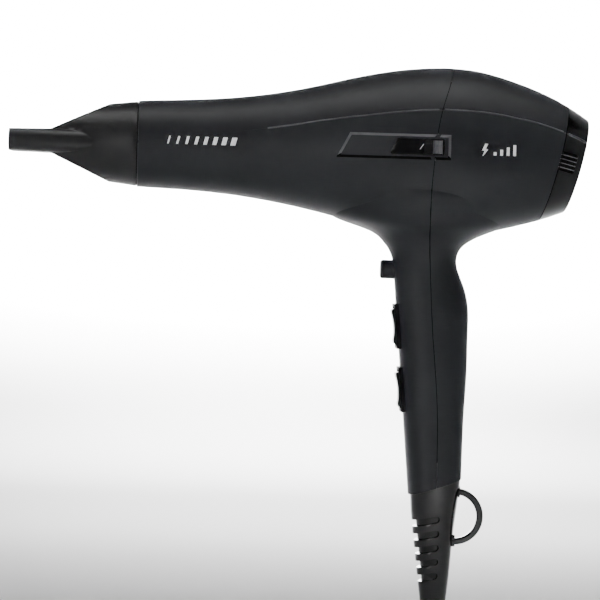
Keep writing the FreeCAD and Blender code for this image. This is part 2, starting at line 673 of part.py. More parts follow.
def make_rear_cover():
    """The pull-off filter cover with its grip slots, its grille and its filter."""
    outer = barrel_form(0, stepped_section).common(cover_slab(dim("cover_gap"), dim("cover_depth")))
    inside = barrel_form(dim("cover_wall"), plain_section)
    back = dim("cover_depth") - dim("cover_wall")
    cover = outer.cut(inside.common(cover_slab(-5, back)))
    window = Part.makeCylinder(dim("rear_window"), 30, Vector(0, 0, 0), Vector(1, 0, 0))
    cover = cover.cut(in_cover_frame(window))
    reach, half, thin = dim("lip_reach"), dim("lip_half"), dim("lip_wall")
    lip = Part.Face(oval(-reach, reach, half, 0, 2)).extrude(Vector(0, 0, 9))
    lip = lip.cut(Part.Face(oval(thin - reach, reach - thin, half - thin, -1, 2)).extrude(Vector(0, 0, 11)))
    lip.translate(Vector(0, 0, -dim("lip_depth")))
    lip.rotate(Vector(), Vector(0, 1, 0), 90)
    lip = in_cover_frame(lip).common(barrel_form(1, plain_section))
    cover = cover.fuse(lip)
    slots = []
    for side in (-1, 1):
        for i in range(5):
            height = dim("grip_middle") + (i - 2) * dim("grip_pitch")
            slot = Part.makeBox(dim("grip_length"), 30, dim("grip_width"),
                                Vector(-1, min(side * 15, side * 45), height - dim("grip_width") / 2))
            slots.append(in_cover_frame(slot))
    cover = cover.cut(Part.makeCompound(slots).cut(barrel_form(dim("groove_depth"), stepped_section)))
    node("rear_cover", fixed(cover, "RearCover"), "0", "0")


def grille(depth, thick, radius, rings, spokes, bar):
    """A round grille across x: rings on spokes, with a solid middle."""
    parts = [tube(depth, f"{depth} + {thick}", radius, f"{radius} - 2")]
    for i in range(1, rings + 1):
        at = f"({radius} - 1) * {i} / {rings + 1}"
        parts.append(tube(depth, f"{depth} + {thick}", f"{at} + {bar} / 2", f"{at} - {bar} / 2"))
    parts.append(rod("x", depth, f"{depth} + {thick}", f"({radius} - 1) / {rings + 1}"))
    for i in range(spokes):
        spoke = block(depth, f"{depth} + {thick}", f"-{bar} / 2", f"{bar} / 2", "1", f"{radius} - 1")
        spoke.Placement = Placement(Vector(), Rotation(Vector(1, 0, 0), 360 / spokes * i))
        angle = math.radians(360 / spokes * i)
        move(spoke, depth, f"-({bar} / 2) * {math.cos(angle):.6f} - 1 * {math.sin(angle):.6f}",
             f"-({bar} / 2) * {math.sin(angle):.6f} + 1 * {math.cos(angle):.6f}")
        parts.append(spoke)
    return join(*parts)


def make_inlet():
    """The inlet grille and the filter in the cover, and the fixed guard in the rear housing."""
    frame = ("cover_station", "-cover_drop", dim("cover_tilt"))
    node("inlet_grille", grille("cover_depth - cover_wall - 1.7", "1.6", "rear_window + 1.6", 5, 12, "1.1"), *frame)
    node("filter_mesh", rod("x", "cover_depth - cover_wall - 2.5", "cover_depth - cover_wall - 1.8",
                            "rear_window + 1.2"), *frame)
    node("rear_guard", grille("-7.9", "1.6", "guard_radius", 4, 8, "1.4"), *frame)


# ---------------------------------------------------------------------------------------------------------------
# Nozzle
# ---------------------------------------------------------------------------------------------------------------

def stadium(x, half_width, half_height):
    """A slot-shaped section across x with half-round ends."""
    flat = half_width - half_height
    corners = [Vector(x, -flat, half_height), Vector(x, flat, half_height),
               Vector(x, flat, -half_height), Vector(x, -flat, -half_height)]
    right = Part.Arc(corners[1], Vector(x, half_width, 0), corners[2]).toShape()
    left = Part.Arc(corners[3], Vector(x, -half_width, 0), corners[0]).toShape()
    return Part.Wire([Part.makeLine(corners[0], corners[1]), right, Part.makeLine(corners[2], corners[3]), left])


def slot_half_width(x):
    """Half the outer width of the nozzle's slot at one distance behind the outlet; it widens to the mouth."""
    return dim("mouth_half_width") - dim("slot_taper") * (x + dim("nozzle_length"))


def nozzle_form(depth, tip=0):
    """The nozzle's solid form at some depth under its surface; tip carries it past both ends."""
    base, shoulder = -dim("nozzle_gap") + tip, -dim("nozzle_shoulder_at")
    throat, mouth = -dim("nozzle_throat_at"), -dim("nozzle_length") - tip
    back = Vector(-1, 0, 0)
    base_radius, shoulder_radius = dim("nozzle_base") - depth, dim("nozzle_shoulder") - depth
    throat_height, mouth_height = dim("slot_half_height") - depth, dim("mouth_half_height") - depth
    collar = Part.makeCone(base_radius, shoulder_radius, base - shoulder, Vector(base, 0, 0), back)
    body = Part.makeCone(shoulder_radius, shoulder_radius - 1.4, shoulder - throat, Vector(shoulder, 0, 0), back)
    wedge = [Vector(shoulder, -40, shoulder_radius), Vector(throat, -40, throat_height),
             Vector(throat, -40, -throat_height), Vector(shoulder, -40, -shoulder_radius)]
    body = body.common(Part.Face(Part.makePolygon(wedge + wedge[:1])).extrude(Vector(0, 80, 0)))
    root = shoulder + 0.5
    duct = Part.makeLoft([stadium(root, slot_half_width(root) - depth, throat_height),
                          stadium(throat, slot_half_width(throat) - depth, throat_height)], True, True)
    lips = Part.makeLoft([stadium(throat, slot_half_width(throat) - depth, throat_height),
                          stadium(mouth, slot_half_width(mouth) - depth, mouth_height)], True, True)
    return collar.fuse(body).fuse(duct).fuse(lips)


def make_nozzle():
    """The slot nozzle with its spigot, and the snap ring that holds it in the barrel."""
    form = nozzle_form(0).cut(nozzle_form(dim("nozzle_wall"), tip=1))
    spigot = axis_rod(-2, dim("spigot_length"), dim("spigot_radius"))
    spigot = spigot.cut(axis_rod(-3, dim("spigot_length") + 1, dim("spigot_radius") - 1.5))
    groove_at = dim("spigot_length") - 3
    groove = Part.makeTorus(dim("spigot_radius") + 0.1, dim("snap_wire") + 0.05, Vector(groove_at, 0, 0),
                            Vector(1, 0, 0))
    collar = axis_rod(-2.5, -dim("nozzle_gap"), dim("nozzle_base") - 0.8)
    collar = collar.cut(axis_rod(-3, 1, dim("spigot_radius") - 1.5))
    node("nozzle", fixed(form.fuse(spigot).fuse(collar).cut(groove), "Nozzle"), "0", "0")
    on_axis("nozzle_ring", ring("x", "spigot_length - 3", "spigot_radius + 0.1", "snap_wire"))


# ---------------------------------------------------------------------------------------------------------------
# Inside the barrel
# ---------------------------------------------------------------------------------------------------------------

def make_heater():
    """Outlet grille, mica tube, heater frame with its windings, and the two thermal cut-outs."""
    on_axis("outlet_grille", cut(grille("grille_station", "2", "outlet_bore - 0.1", 3, 8, "1.3"),
                                 rod("x", "grille_station - 1", "grille_station + 3", "1.25")))
    on_axis("ion_emitter", join(rod("x", "grille_station - 4", "grille_station", "0.1", end_radius="1.2"),
                                rod("x", "grille_station", "grille_station + 5", "1.2")))
    on_axis("mica_tube", tube("mica_start", "mica_end", "mica_radius", "mica_radius - 0.8"))
    inner = "mica_radius - 0.85"
    plates = [block("mica_start + 2", "mica_end - 2", "-coil_radius + 0.7", "coil_radius - 0.7", "-0.4", "0.4"),
              block("mica_start + 2", "mica_end - 2", "-0.4", "0.4", "-coil_radius + 0.7", "coil_radius - 0.7")]
    ends = []
    for at in ("mica_start + 2", "mica_end - 3"):
        ends.append(tube(at, f"{at} + 1", inner, f"{inner} - 1.4"))
        ends.append(block(at, f"{at} + 1", f"-({inner}) + 0.5", f"{inner} - 0.5", "-1.5", "1.5"))
        ends.append(block(at, f"{at} + 1", "-1.5", "1.5", f"-({inner}) + 0.5", f"{inner} - 0.5"))
    on_axis("heater_frame", join(*plates, *ends))
    count = int((dim("mica_end") - dim("mica_start") - 12) / dim("coil_pitch"))
    coils = [ring("x", f"mica_start + 6 + {i} * coil_pitch", "coil_radius", "0.5") for i in range(count)]
    on_axis("heater_coils", join(*coils))
    on_axis("thermostat", join(block("mica_end - 22", "mica_end - 8", "1", "5", "2", "10"),
                               rod("y", "4.9", "6", "2.6", "mica_end - 15", "6")))
    on_axis("thermal_fuse", join(rod("x", "mica_end - 20", "mica_end - 10", "1.6", "-6", "-6"),
                                 rod("x", "mica_end - 28", "mica_end - 4", "0.4", "-6", "-6")))


def make_motor():
    """The motor: stator, windings, rotor, commutator, brushes, shaft, bearings and brackets."""
    start, end = "stator_start", "stator_start + stator_length"
    half = "stator_side / 2"
    core = shared(block(start, end, f"-{half}", half, f"-{half}", half), rod("x", start, end, "stator_corner"))
    on_axis("stator", cut(core, rod("x", f"{start} - 1", f"{end} + 1", "rotor_radius + 0.5")))
    windings = []
    for edge, way in ((start, -1), (end, 1)):
        for side in (-1, 1):
            loop = cut(block(f"{edge} + {min(0, 5 * way)}", f"{edge} + {max(0, 5 * way)}", "-20", "20",
                             "0" if side > 0 else "-winding_height", "winding_height" if side > 0 else "0"),
                       rod("x", f"{edge} - 9", f"{edge} + 9", "rotor_radius + 1.5"),
                       block(f"{edge} - 9", f"{edge} + 9", "-25", "25", "-3", "3"))
            windings.append(loop)
    on_axis("stator_windings", join(*windings))
    shaft_start, shaft_end = "stator_start - 19", "fan_station + fan_depth - 1"
    on_axis("motor_shaft", rod("x", shaft_start, shaft_end, "shaft_radius"))
    bore = rod("x", f"{start} - 20", "fan_station + fan_depth + 9", "shaft_radius")
    laminations = rod("x", f"{start} + 0.5", f"{end} - 0.5", "rotor_radius")
    slots = []
    for i in range(12):
        angle = 2 * math.pi * i / 12
        slots.append(rod("x", f"{start} - 1", f"{end} + 1", "1.1", f"(rotor_radius - 0.5) * {math.cos(angle):.6f}",
                         f"(rotor_radius - 0.5) * {math.sin(angle):.6f}"))
    on_axis("rotor", cut(laminations, bore, *slots))
    on_axis("rotor_windings", join(
        cut(rod("x", f"{start} - 5", f"{start} + 0.4", "8", end_radius="12.5"), bore),
        cut(rod("x", f"{end} - 0.4", f"{end} + 4", "12.5", end_radius="8"), bore)))
    commutator = turned([(f"{start} - 13", "shaft_radius"), (f"{start} - 6", "shaft_radius"),
                         (f"{start} - 6", "6.5"), (f"{start} - 7", "6.5"), (f"{start} - 7", "5.5"),
                         (f"{start} - 13", "5.5")])
    on_axis("commutator", commutator)
    brushes = [block(f"{start} - 12.5", f"{start} - 8.5", y0, y1, "-2", "2")
               for y0, y1 in (("5.6", "13"), ("-13", "-5.6"))]
    on_axis("carbon_brushes", join(*brushes))
    bearing_bore = "shaft_radius + running_gap"
    for label, at in (("front_bearing", f"{start} - 19"), ("rear_bearing", f"{end} + 8")):
        on_axis(label, turned([(at, bearing_bore), (f"{at} + 4", bearing_bore), (f"{at} + 4", "bearing_radius - 0.4"),
                               (f"{at} + 3.6", "bearing_radius"), (f"{at} + 0.4", "bearing_radius"),
                               (at, "bearing_radius - 0.4")]))
    screw_holes = [rod("x", f"{start} - 17", f"{start} - 2.5", "1.25", "0", z) for z in ("post_height", "-post_height")]
    for label, plate, cup_start, cup_end, seat, post_start, post_end in (
            ("front_bracket", f"{start} - 15", f"{start} - 19.5", f"{start} - 13", f"{start} - 19",
             f"{start} - 13", start),
            ("rear_bracket", f"{end} + 6", f"{end} + 6", f"{end} + 12", f"{end} + 8", end, f"{end} + 6")):
        bridge = block(plate, f"{plate} + 2", "-9", "9", "-27", "27")
        cup = rod("x", cup_start, cup_end, "bearing_radius + 1.5")
        posts = [rod("x", post_start, post_end, "post_radius", "0", z) for z in ("post_height", "-post_height")]
        hollow = rod("x", seat, f"{seat} + 4", "bearing_radius")
        shaft_hole = rod("x", f"{start} - 30", f"{end} + 30", "shaft_radius + 1.2")
        on_axis(label, cut(join(bridge, cup, *posts), hollow, shaft_hole,
                           *(screw_holes if label == "front_bracket" else [])))
    on_axis("motor_screws", join(*[join(rod("x", f"{start} - 17", f"{start} - 15", "2.6", "0", z),
                                        rod("x", f"{start} - 15.5", f"{start} - 3", "1.2", "0", z))
                                   for z in ("post_height", "-post_height")]))


def make_fan():
    """The axial fan: a hub with a domed nose and nine twisted blades, and the duct round it."""
    start, end = dim("fan_station"), dim("fan_station") + dim("fan_depth")
    hub = axis_rod(start, end - 3, dim("fan_hub"))
    nose = Part.makeCone(dim("fan_hub"), 5, 4, Vector(end - 3, 0, 0), Vector(1, 0, 0))
    blades = []
    for i in range(9):
        sections = []
        for radius, stagger, chord in ((dim("fan_hub") - 1.5, 42, 14), (22, 56, 15.5), (dim("fan_radius"), 65, 15)):
            c, s = math.cos(math.radians(stagger)), math.sin(math.radians(stagger))
            middle = (start + end - 3) / 2
            outline = [(-0.5, 0), (-0.2, 0.9), (0.15, 0.95), (0.5, 0.1), (0.5, -0.1), (0.15, -0.25), (-0.2, -0.3)]
            points = [Vector(middle + u * chord * c - v * s, u * chord * s + v * c, radius) for u, v in outline]
            sections.append(Part.makePolygon(points + points[:1]))
        blade = Part.makeLoft(sections, True)
        blade.rotate(Vector(), Vector(1, 0, 0), 40 * i)
        blades.append(blade)
    sweep = axis_rod(start, end, dim("fan_radius"))
    bore = axis_rod(start - 1, end + 5, dim("shaft_radius"))
    wheel = hub.fuse([nose] + blades).common(sweep).cut(bore)
    node("fan", fixed(wheel, "Fan"), "0", "0")
    wall = tube("duct_start", "duct_end", "duct_radius + duct_wall", "duct_radius")
    arms = []
    for y0, y1, z0, z1 in (("-1", "1", "29.5", "duct_radius + 0.4"), ("-1", "1", "-duct_radius - 0.4", "-29.5"),
                           ("25", "duct_radius + 0.4", "-1", "1"), ("-duct_radius - 0.4", "-25", "-1", "1")):
        arms.append(block("stator_start", "stator_start + stator_length", y0, y1, z0, z1))
    saddles = [block("stator_start", "stator_start + stator_length", "-8", "8", z0, z1)
               for z0, z1 in (("25", "30"), ("-30", "-25"))]
    vanes = []
    for i in range(7):
        vane = block("stator_start + stator_length + 8.5", "fan_station - 2", "-0.6", "0.6", "15", "duct_radius + 0.4")
        angle = 2 * math.pi * (i + 0.5) / 7
        vane.Placement = Placement(Vector(), Rotation(Vector(1, 0, 0), math.degrees(angle)))
        move(vane, "stator_start + stator_length + 8.5", f"-0.6 * {math.cos(angle):.6f} - 15 * {math.sin(angle):.6f}",
             f"-0.6 * {math.sin(angle):.6f} + 15 * {math.cos(angle):.6f}")
        vanes.append(vane)
    on_axis("fan_duct", join(wall, *arms, *saddles, *vanes))


def make_ion_generator():
    """The potted ion generator above the grip."""
    on_axis("ion_generator", join(block("137", "161", "-9", "9", "-48", "-38"),
                                  block("161", "163", "-5", "5", "-46", "-40")))


# ---------------------------------------------------------------------------------------------------------------
# Inside the handle
# ---------------------------------------------------------------------------------------------------------------

def make_cool_button():
    """The cool-air button with its spring and its microswitch."""
    face, centre = "button_face", "button_height"
    cap = rod("x", f"{face} + 0.8", f"{face} + 12", "button_radius", "0", centre)
    crown = rod("x", face, f"{face} + 0.8", "button_radius - 0.8", "0", centre, end_radius="button_radius")
    flange = rod("x", f"{face} + 10.8", f"{face} + 12", "button_radius + 0.8", "0", centre)
    stem = rod("x", f"{face} + 12", f"{face} + 14", "1.4", "0", centre)
    on_axis("cool_button", join(cap, crown, flange, stem))
    body = block(f"{face} + 19", f"{face} + 29", "-4", "4", f"{centre} - 5.5", f"{centre} + 5.5")
    plunger = rod("x", f"{face} + 17.2", f"{face} + 19.1", "1.2", "0", centre)
    legs = [block(f"{face} + 28.9", f"{face} + 32", "-0.4", "0.4", f"{centre} + {z - 0.8}", f"{centre} + {z + 0.8}")
            for z in (-4, 0, 4)]
    on_axis("cool_switch", join(body, plunger, *legs))
    wire, radius, length = 0.35, 3.4, 6.4
    helix = Part.makeHelix((length - 2 * wire) / 5, length - 2 * wire, radius)
    profile = Part.Wire(Part.makeCircle(wire, Vector(radius, 0, 0), Vector(0, 1, 0)))
    spring = Part.Wire(helix).makePipeShell([profile], True, True)
    spring.rotate(Vector(), Vector(0, 1, 0), 90)
    spring.translate(Vector(dim("button_face") + 12.3 + wire, 0, dim("button_height")))
    on_axis("cool_spring", fixed(spring, "Spring"))


def make_switch(name, at, height):
    """A rocker switch: the body with its bezel and terminals, and the rocker on its trunnions."""
    tall, wide = "bezel_height", "bezel_width"
    bezel = block("-bezel_depth", "bezel_seat", f"-{wide} / 2", f"{wide} / 2", f"-{tall} / 2", f"{tall} / 2")
    body = block("0", "12", f"-{wide} / 2 + 0.8", f"{wide} / 2 - 0.8", f"-{tall} / 2 + 0.7", f"{tall} / 2 - 0.7")
    well = block("-bezel_depth - 1", "5.6", "-rocker_width / 2 - 0.3", "rocker_width / 2 + 0.3",
                 "-rocker_radius - 0.3", "rocker_radius + 0.3")
    pivot = rod("y", f"-{wide} / 2 + 1.2", f"{wide} / 2 - 1.2", "pivot_radius + running_gap", "pivot_depth", "0")
    legs = [block("11.9", "17", "-2.4", "2.4", f"{z} - 0.4", f"{z} + 0.4") for z in (-7, 0, 7)]
    case = join(cut(join(bezel, body), well, pivot), *legs)
    node(f"{name}_switch", case, at, height, -dim("switch_lean"))

    disc = rod("y", "-rocker_width / 2", "rocker_width / 2", "rocker_radius", "pivot_depth", "0")
    trim = block("-rocker_rise", "3", "-rocker_width / 2", "rocker_width / 2", "-rocker_radius", "rocker_radius")
    hollow = rod("y", "-rocker_width", "rocker_width", "rocker_hollow", "-rocker_rise + 0.9 - rocker_hollow", "0")
    pin = rod("y", f"-{wide} / 2 + 1.3", f"{wide} / 2 - 1.3", "pivot_radius", "pivot_depth", "0")
    node(f"{name}_rocker", join(cut(shared(disc, trim), hollow), pin), at, height, -dim("switch_lean"))


def make_handle_hardware():
    """The handle's screw, the terminal block, and the clamp bar with its screws."""
    centre = "handle_screw_z"
    head = rod("x", "166.1", "168.1", "3", "0", centre)
    cross = [block("167.2", "169", "-2", "2", f"{centre} - 0.35", f"{centre} + 0.35"),
             block("167.2", "169", "-0.35", "0.35", f"{centre} - 2", f"{centre} + 2")]
    shank = rod("x", "151", "166.2", "screw_radius", "0", centre)
    on_axis("handle_screw", cut(join(head, shank), *cross))
    block_body = block("160.5", "169.5", "-9", "9", "-112", "-102")
    screws = [rod("x", "158", "161", "2", y, "-107") for y in ("-5", "5")]
    on_axis("terminal_block", cut(block_body, *screws))
    on_axis("cord_clamp", cut(block("150.5", "156.3", "-10", "10", "-158", "-153.5"),
                              rod("z", "-160", "-150", "1.4", "153.4", "7"),
                              rod("z", "-160", "-150", "1.4", "153.4", "-7")))
    on_axis("clamp_screws", join(*[join(rod("z", "-153.5", "-151.7", "2.4", "153.4", y),
                                        rod("z", "-161.5", "-153.4", "1.35", "153.4", y)) for y in ("7", "-7")]))


# ---------------------------------------------------------------------------------------------------------------
# Cord sleeve and hanging loop
# ---------------------------------------------------------------------------------------------------------------

def make_strain_relief():
    """The cord sleeve: a slotted rubber cone round a core, open at the tip for the cord."""
    top, tip = SLEEVE[0][0], SLEEVE[-1][0]
    form = sleeve_form(0)
    slots = []
    width = dim("sleeve_slot")
    for i in range(5):
        slot = Part.makeBox(24, 60, width, Vector(-24, -30, -width / 2))
        end = Part.makeCylinder(width / 2, 60, Vector(0, -30, 0), Vector(0, 1, 0))
        slot = slot.fuse(end)
        slot.Placement = Placement(Vector(dim("sleeve_slot_end"), 0, dim("sleeve_slot_z") - i * dim("sleeve_pitch")),
                                   Rotation(Vector(0, 1, 0), -dim("sleeve_slot_slope")))
        slots.append(slot)
    at = dim("sleeve_at")
    core = Part.makeCone(dim("cord_bore") + 4.2, dim("cord_bore") + 1.4, top - tip - 0.4, Vector(at - 1, 0, top - 0.2),
                         Vector(0, 0, -1))
    lean = math.degrees(math.atan2(1.0, top - tip))
    core.rotate(Vector(at - 1, 0, top), Vector(0, 1, 0), -lean)
    bore = Part.makeCylinder(dim("cord_bore"), top - tip + 20, Vector(at, 0, tip - 10), Vector(0, 0, 1))
    sleeve = form.cut(slots).fuse(core.common(form)).cut(bore)
    node("strain_relief", fixed(sleeve, "StrainRelief"), "0", "0")

    outer, inner = dim("loop_radius"), dim("loop_radius") - dim("loop_width")
    half = dim("loop_thick") / 2
    centre = Vector(dim("loop_at"), -half, dim("loop_z"))
    hoop = Part.makeCylinder(outer, 2 * half, centre, Vector(0, 1, 0))
    hoop = hoop.cut(Part.makeCylinder(inner, 2 * half, centre, Vector(0, 1, 0)))
    hoop = rounded(hoop, 1.1, lambda edge: edge.Length > 20)
    collars = [Part.makeCylinder(3.1, 2.2, Vector(rear - 1, 0, z), Vector(1, 0, 0)) for rear, z in
               ((171.9, dim("loop_z") + outer - 1.9), (170.0, dim("loop_z") - outer + 1.9))]
    front = Part.makeBox(40, 60, 60, Vector(dim("loop_at") - 40, -30, dim("loop_z") - 30))
    loop = hoop.cut(front).fuse(collars).cut(sleeve_form(0.02))
    node("hanging_loop", fixed(loop, "HangingLoop"), "0", "0")


# ---------------------------------------------------------------------------------------------------------------
# The assembly
# ---------------------------------------------------------------------------------------------------------------

make_housings()
make_side_windows()
make_ion_slider()
make_rear_cover()
make_inlet()
make_nozzle()
make_heater()
make_motor()
make_fan()
make_ion_generator()
make_cool_button()
make_switch("upper", "upper_switch_at", "upper_switch_z")
make_switch("lower", "lower_switch_at", "lower_switch_z")
make_handle_hardware()
make_strain_relief()

doc.recompute()

for item in doc.Objects:
    if "Invalid" in item.State or "Error" in item.State:
        raise RuntimeError(f"{item.Name} ({item.Label}) could not be built")
for item in NODES:
    if item.Shape.isNull() or not item.Shape.isValid():
        raise RuntimeError(f"{item.Label} has no valid shape")

os.makedirs("parts", exist_ok=True)
for item in NODES:
    item.Shape.exportStep(f"parts/{item.Label}.step")
    print(f"{item.Label}: {len(item.Shape.Solids)} solid(s), {item.Shape.Volume:.0f} mm3")
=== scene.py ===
"""Looks of the hair dryer: materials, finishing pieces, floor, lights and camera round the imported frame."""

import json
import math

import bmesh
import bpy
from mathutils import Matrix, Vector
from mathutils.bvhtree import BVHTree


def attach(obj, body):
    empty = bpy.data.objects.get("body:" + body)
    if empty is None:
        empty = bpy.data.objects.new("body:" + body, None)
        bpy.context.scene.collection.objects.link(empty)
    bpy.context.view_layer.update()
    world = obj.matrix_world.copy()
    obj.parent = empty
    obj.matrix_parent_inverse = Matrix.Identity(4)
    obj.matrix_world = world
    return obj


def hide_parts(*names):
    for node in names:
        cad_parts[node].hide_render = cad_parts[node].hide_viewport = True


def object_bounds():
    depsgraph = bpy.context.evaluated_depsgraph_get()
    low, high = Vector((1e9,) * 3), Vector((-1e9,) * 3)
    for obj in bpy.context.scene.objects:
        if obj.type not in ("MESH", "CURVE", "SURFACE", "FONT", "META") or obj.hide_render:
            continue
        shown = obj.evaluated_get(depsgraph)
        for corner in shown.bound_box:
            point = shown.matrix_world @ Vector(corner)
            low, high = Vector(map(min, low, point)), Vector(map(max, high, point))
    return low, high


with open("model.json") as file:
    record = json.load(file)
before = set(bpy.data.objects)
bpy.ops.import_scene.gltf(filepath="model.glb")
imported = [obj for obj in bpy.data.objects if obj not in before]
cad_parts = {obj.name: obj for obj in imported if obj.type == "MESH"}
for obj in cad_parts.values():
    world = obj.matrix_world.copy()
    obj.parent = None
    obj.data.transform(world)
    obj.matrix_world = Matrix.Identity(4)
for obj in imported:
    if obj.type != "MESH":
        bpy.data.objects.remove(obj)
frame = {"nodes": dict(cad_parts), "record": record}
CAD_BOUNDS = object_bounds()
NODES = frame["nodes"]

MM = 0.001

# Landmarks of the object. A station is a distance behind the barrel's outlet plane, and a height is above
# the barrel's axis. Both are in millimetres.
AXIS_Z = 115 * MM
OUTLET_X = -160 * MM
OUTLET_RADIUS = 22.35
SIDES = ((-1, "left"), (1, "right"))
LOOK_DISTANCE = 80.0            # from the middle plane to a point clear of the object

# The filter cover's own frame: its tilt, and the station and height of its origin
COVER_TILT = math.radians(12.9)
COVER_STATION = 215.4
COVER_HEIGHT = -3.8

# The recess in the barrel's sides: (station, height) of its corners, and its chamfered edge
RECESS = ((101.0, -4.0), (158.6, -4.0), (158.6, 8.8), (107.66, 8.8))
RECESS_CHAMFER = 1.4
RECESS_MARGIN = 0.25            # how far the chamfer reaches outside the recess
RECESS_STEP = 1.2               # between two sections of the chamfer
PARTING_CLEARANCE = 0.45        # between the chamfer and the middle of the parting groove

# The crease along the barrel's sides: (station, height), from where it fades in to the filter cover
CREASE = ((58.0, 8.6), (75.0, 10.8), (100.0, 15.2), (125.0, 18.8), (150.0, 21.2),
          (170.0, 21.2), (190.0, 19.0), (210.0, 14.8), (228.0, 8.2))
CREASE_REACH = 2.0              # how far above and below these heights the edge is looked for
CREASE_STEP = 1.5               # between two points of the edge

# The parting line between the housings: (height, station)
PARTING = ((-172.0, 159.2), (-128.0, 158.0), (-92.0, 154.5), (-55.0, 151.8), (-25.0, 149.7),
           (-4.0, 150.4), (21.0, 154.0), (44.5, 161.7))
PARTING_RUNS = ((-160.0, -4.5), (-3.7, -2.5), (7.1, 8.3), (9.4, 36.0))  # heights of the open groove
PARTING_MIDDLE = 0.2            # of the groove, behind the parting line
PARTING_STEP = 1.5              # between two points of its shadow
GROOVE_REACH = 1.5              # how far before and behind the parting line the groove is looked for
GROOVE_DEPTH = 0.5              # at least, below the skin

# The slotted part of the cord sleeve: (height, front station, rear station, half width)
SLOTTED_SLEEVE = ((-186.5, 147.9, 171.4, 10.5), (-190.0, 148.2, 171.1, 10.2),
                  (-216.0, 151.6, 169.1, 8.1), (-232.0, 153.8, 167.7, 6.6))
SLEEVE_CORE_DEPTH = 1.3         # below the sleeve's sides
SLEEVE_CORE_STEP = 2.2          # behind the sleeve's front
CORD_STATION = 160.9
CORD_BORE = 4.05

# The filter gauze, in the cover's own frame
GAUZE_DEPTH = 8.15
GAUZE_RADIUS = 20.4
GAUZE_PITCH = 1.0
GAUZE_WIRE = 0.13               # radius of a wire

# The grip slots in the filter cover's sides, in the cover's own frame
GRIP_SLOTS = 5
GRIP_MIDDLE = 1.8
GRIP_PITCH = 2.15
GRIP_LENGTH = 9.0
GRIP_MARGIN = 0.2               # between a strip's ends and the slot's
GRIP_FLOOR_HALF = 0.45          # half the width of the painted shade on a slot's floor
GRIP_RIDGE_HALF = 0.25          # half the width of the painted highlight on a ridge

# Camera
VIEW_AZIMUTH = math.radians(-2.9)
VIEW_ELEVATION = math.radians(2.0)
VIEW_ROLL = math.radians(1.8)
VIEW_DISTANCE = 1.47
VIEW_WIDTH = 0.312
VIEW_TARGET = Vector((-0.0735, 0.0, 0.0366))

# Studio: a round floor with a wall, wide enough for a camera on any side
STUDIO_RADIUS = 2.6
STUDIO_BEND = 1.2
STUDIO_HEIGHT = 3.0
STUDIO_SIDES = 96
STUDIO_STEPS = 12               # in the bend
FLOOR_GAP = 0.004               # between the floor and the lowest point of the object
WALL_POWER = 50
FLOOR_POWER = 34


# ----------------------------------------------------------------------------------------------------------
# Materials
# ----------------------------------------------------------------------------------------------------------

class Finish:
    """A procedural material: a Principled shader with layers of noise on colour, roughness and bump."""

    NOISE_LOW = 0.3
    NOISE_HIGH = 0.7

    def __init__(self, name, colour, roughness, **sockets):
        self.material = bpy.data.materials.new(name)
        self.material.use_nodes = True
        self.tree = self.material.node_tree
        self.shader = self.tree.nodes["Principled BSDF"]
        self.shader.inputs["Base Color"].default_value = (*colour, 1)
        self.shader.inputs["Roughness"].default_value = roughness
        for socket, value in sockets.items():
            self.shader.inputs[socket.replace("_", " ")].default_value = value
        self.place = self.add("ShaderNodeTexCoord").outputs["Object"]
        self.colour = colour
        self.roughness = roughness
        self.normal = None

    def add(self, kind, **settings):
        """A new node with its settings."""
        item = self.tree.nodes.new(kind)
        for key, value in settings.items():
            setattr(item, key, value)
        return item

    def noise(self, size, detail=3.0, stretch=(1, 1, 1)):
        """Noise whose features are about one size across, in metres."""
        mapping = self.add("ShaderNodeMapping")
        mapping.inputs["Scale"].default_value = stretch
        self.tree.links.new(self.place, mapping.inputs["Vector"])
        noise = self.add("ShaderNodeTexNoise")
        noise.inputs["Scale"].default_value = 1 / size
        noise.inputs["Detail"].default_value = detail
        self.tree.links.new(mapping.outputs["Vector"], noise.inputs["Vector"])
        return noise.outputs["Fac"]

    def spread(self, value, low, high):
        """Maps a noise's middle range to another range."""
        item = self.add("ShaderNodeMapRange")
        item.inputs["From Min"].default_value = self.NOISE_LOW
        item.inputs["From Max"].default_value = self.NOISE_HIGH
        item.inputs["To Min"].default_value = low
        item.inputs["To Max"].default_value = high
        self.tree.links.new(value, item.inputs["Value"])
        return item.outputs["Result"]

    def mottle(self, size, amount, **kind):
        """Lightens and darkens the colour by a share, in soft patches."""
        mix = self.add("ShaderNodeMix", data_type="RGBA")
        shades = {"A": 1 - amount, "B": 1 + amount}
        for socket in mix.inputs:
            if socket.type == "RGBA":
                socket.default_value = (*(shades[socket.name] * value for value in self.colour), 1)
        self.tree.links.new(self.spread(self.noise(size, **kind), 0, 1), mix.inputs["Factor"])
        mixed = next(socket for socket in mix.outputs if socket.type == "RGBA")
        self.tree.links.new(mixed, self.shader.inputs["Base Color"])
        return self

    def smudge(self, size, amount, **kind):
        """Varies the roughness, as handling does."""
        low, high = max(self.roughness - amount, 0.02), min(self.roughness + amount, 1)
        varied = self.spread(self.noise(size, **kind), low, high)
        self.tree.links.new(varied, self.shader.inputs["Roughness"])
        return self

    def grain(self, size, depth, strength=1.0, **kind):
        """Fine relief, in metres of depth; several grains add up."""
        bump = self.add("ShaderNodeBump")
        bump.inputs["Strength"].default_value = strength
        bump.inputs["Distance"].default_value = depth
        self.tree.links.new(self.noise(size, **kind), bump.inputs["Height"])
        if self.normal:
            self.tree.links.new(self.normal, bump.inputs["Normal"])
        self.normal = bump.outputs["Normal"]
        self.tree.links.new(self.normal, self.shader.inputs["Normal"])
        return self


